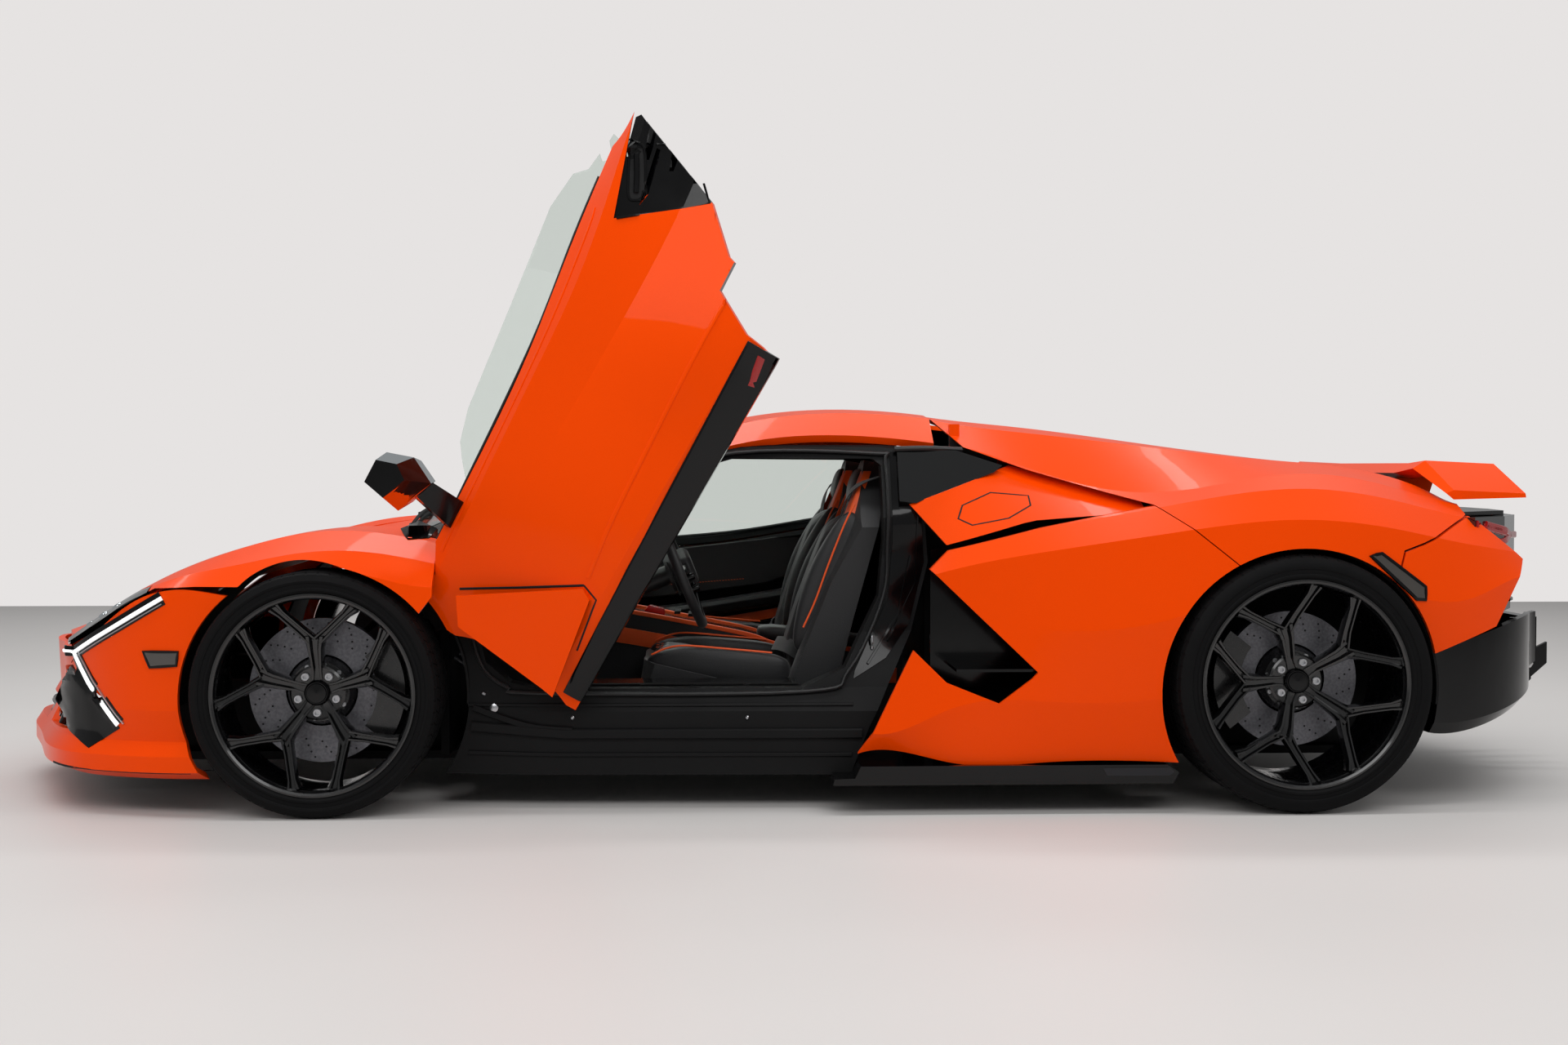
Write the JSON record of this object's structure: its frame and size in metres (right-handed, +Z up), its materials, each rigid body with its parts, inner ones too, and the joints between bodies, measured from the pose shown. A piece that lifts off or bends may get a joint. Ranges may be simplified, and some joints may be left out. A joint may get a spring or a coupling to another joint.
{
  "type": "mid-engined sports car with upward swinging doors",
  "caption": "Low wedge-shaped mid-engined sports car with one upward swinging door open, side intakes, rear wing and spoked wheels.",
  "frame": {"origin": "on the ground, midway along the length and across the width", "axes": "+X towards the car's tail, +Y to the car's right side, +Z up"},
  "size_m": [4.946, 2.2528, 1.9669],
  "materials": {
    "body_paint": "gloss orange paint",
    "gloss_black": "gloss black plastic and carbon",
    "matte_black": "matte black plastic and rubber",
    "tinted_glass": "tinted glass",
    "lamp_front": "dark lamp unit",
    "lamp_rear": "red lamp unit",
    "exhaust_steel": "brushed steel",
    "seat_leather": "black leather with orange stitching",
    "engine_alloy": "plain block",
    "arm_steel": "dark steel",
    "knuckle_alloy": "dark cast alloy",
    "tyre": "black rubber",
    "rim_black": "gloss black alloy",
    "brake_disc": "grey drilled disc"
  },
  "bodies": {
    "car_body": {"nose": "body_paint", "front_fender_left": "body_paint", "front_fender_right": "body_paint", "roof": "body_paint", "rear_quarter_left": "body_paint", "rear_quarter_right": "body_paint", "rear_fender_left": "body_paint", "rear_fender_right": "body_paint", "rear_bumper": "body_paint", "flap_panels": "body_paint", "rear_wing": "body_paint", "nose_inserts": "gloss_black", "cowl": "gloss_black", "side_skirts": "gloss_black", "side_intakes": "gloss_black", "diffuser": "gloss_black", "tail_panel": "gloss_black", "engine_deck": "gloss_black", "door_frame_left": "matte_black", "door_frame_right": "matte_black", "body_tub": "matte_black", "wheel_liners": "matte_black", "dashboard": "matte_black", "console": "matte_black", "steering_wheel": "matte_black", "windscreen": "tinted_glass", "quarter_glass": "tinted_glass", "headlamps": "lamp_front", "tail_lamps": "lamp_rear", "exhaust": "exhaust_steel", "seats": "seat_leather", "engine": "engine_alloy", "suspension_arms": "arm_steel", "knuckles_rear": "knuckle_alloy"},
    "left_door": {"door_left": "body_paint", "door_glass_left": "tinted_glass", "mirror_left": "gloss_black"},
    "right_door": {"door_right": "body_paint", "door_glass_right": "tinted_glass", "mirror_right": "gloss_black"},
    "front_lid": {"front_lid": "body_paint"},
    "left_knuckle": {"knuckle_front_left": "knuckle_alloy"},
    "right_knuckle": {"knuckle_front_right": "knuckle_alloy"},
    "wheel_front_left": {"tyre_front_left": "tyre", "rim_front_left": "rim_black", "brake_disc_front_left": "brake_disc"},
    "wheel_front_right": {"tyre_front_right": "tyre", "rim_front_right": "rim_black", "brake_disc_front_right": "brake_disc"},
    "wheel_rear_left": {"tyre_rear_left": "tyre", "rim_rear_left": "rim_black", "brake_disc_rear_left": "brake_disc"},
    "wheel_rear_right": {"tyre_rear_right": "tyre", "rim_rear_right": "rim_black", "brake_disc_rear_right": "brake_disc"}
  },
  "joints": [
    {"name": "left_door_hinge", "type": "hinge", "parent": "car_body", "child": "left_door", "pos_m": [-1.03, -0.85, 0.53], "axis": [0, -0.9929, -0.1191], "range_deg": [-60, 0]},
    {"name": "right_door_hinge", "type": "hinge", "parent": "car_body", "child": "right_door", "pos_m": [-1.03, 0.85, 0.53], "axis": [0, -0.9929, 0.1191], "range_deg": [0, 60]},
    {"name": "front_lid_hinge", "type": "hinge", "parent": "car_body", "child": "front_lid", "pos_m": [-1.297, 0, 0.789], "axis": [0, 1, 0], "range_deg": [0, 60]},
    {"name": "steering_left", "type": "hinge", "parent": "car_body", "child": "left_knuckle", "pos_m": [-1.4085, -0.785, 0.3462], "axis": [0, 0, 1], "range_deg": [-30, 30]},
    {"name": "steering_right", "type": "hinge", "parent": "car_body", "child": "right_knuckle", "pos_m": [-1.4085, 0.785, 0.3462], "axis": [0, 0, 1], "range_deg": [-30, 30]},
    {"name": "front_left_spin", "type": "hinge", "parent": "left_knuckle", "child": "wheel_front_left", "pos_m": [-1.4085, -0.86, 0.3462], "axis": [0, 1, 0], "continuous": true},
    {"name": "front_right_spin", "type": "hinge", "parent": "right_knuckle", "child": "wheel_front_right", "pos_m": [-1.4085, 0.86, 0.3462], "axis": [0, 1, 0], "continuous": true},
    {"name": "rear_left_spin", "type": "hinge", "parent": "car_body", "child": "wheel_rear_left", "pos_m": [1.3705, -0.8505, 0.36815], "axis": [0, 1, 0], "continuous": true},
    {"name": "rear_right_spin", "type": "hinge", "parent": "car_body", "child": "wheel_rear_right", "pos_m": [1.3705, 0.8505, 0.36815], "axis": [0, 1, 0], "continuous": true}
  ],
  "couplings": [
    {"joint": "steering_right", "follows": "steering_left", "ratio": 1}
  ]
}
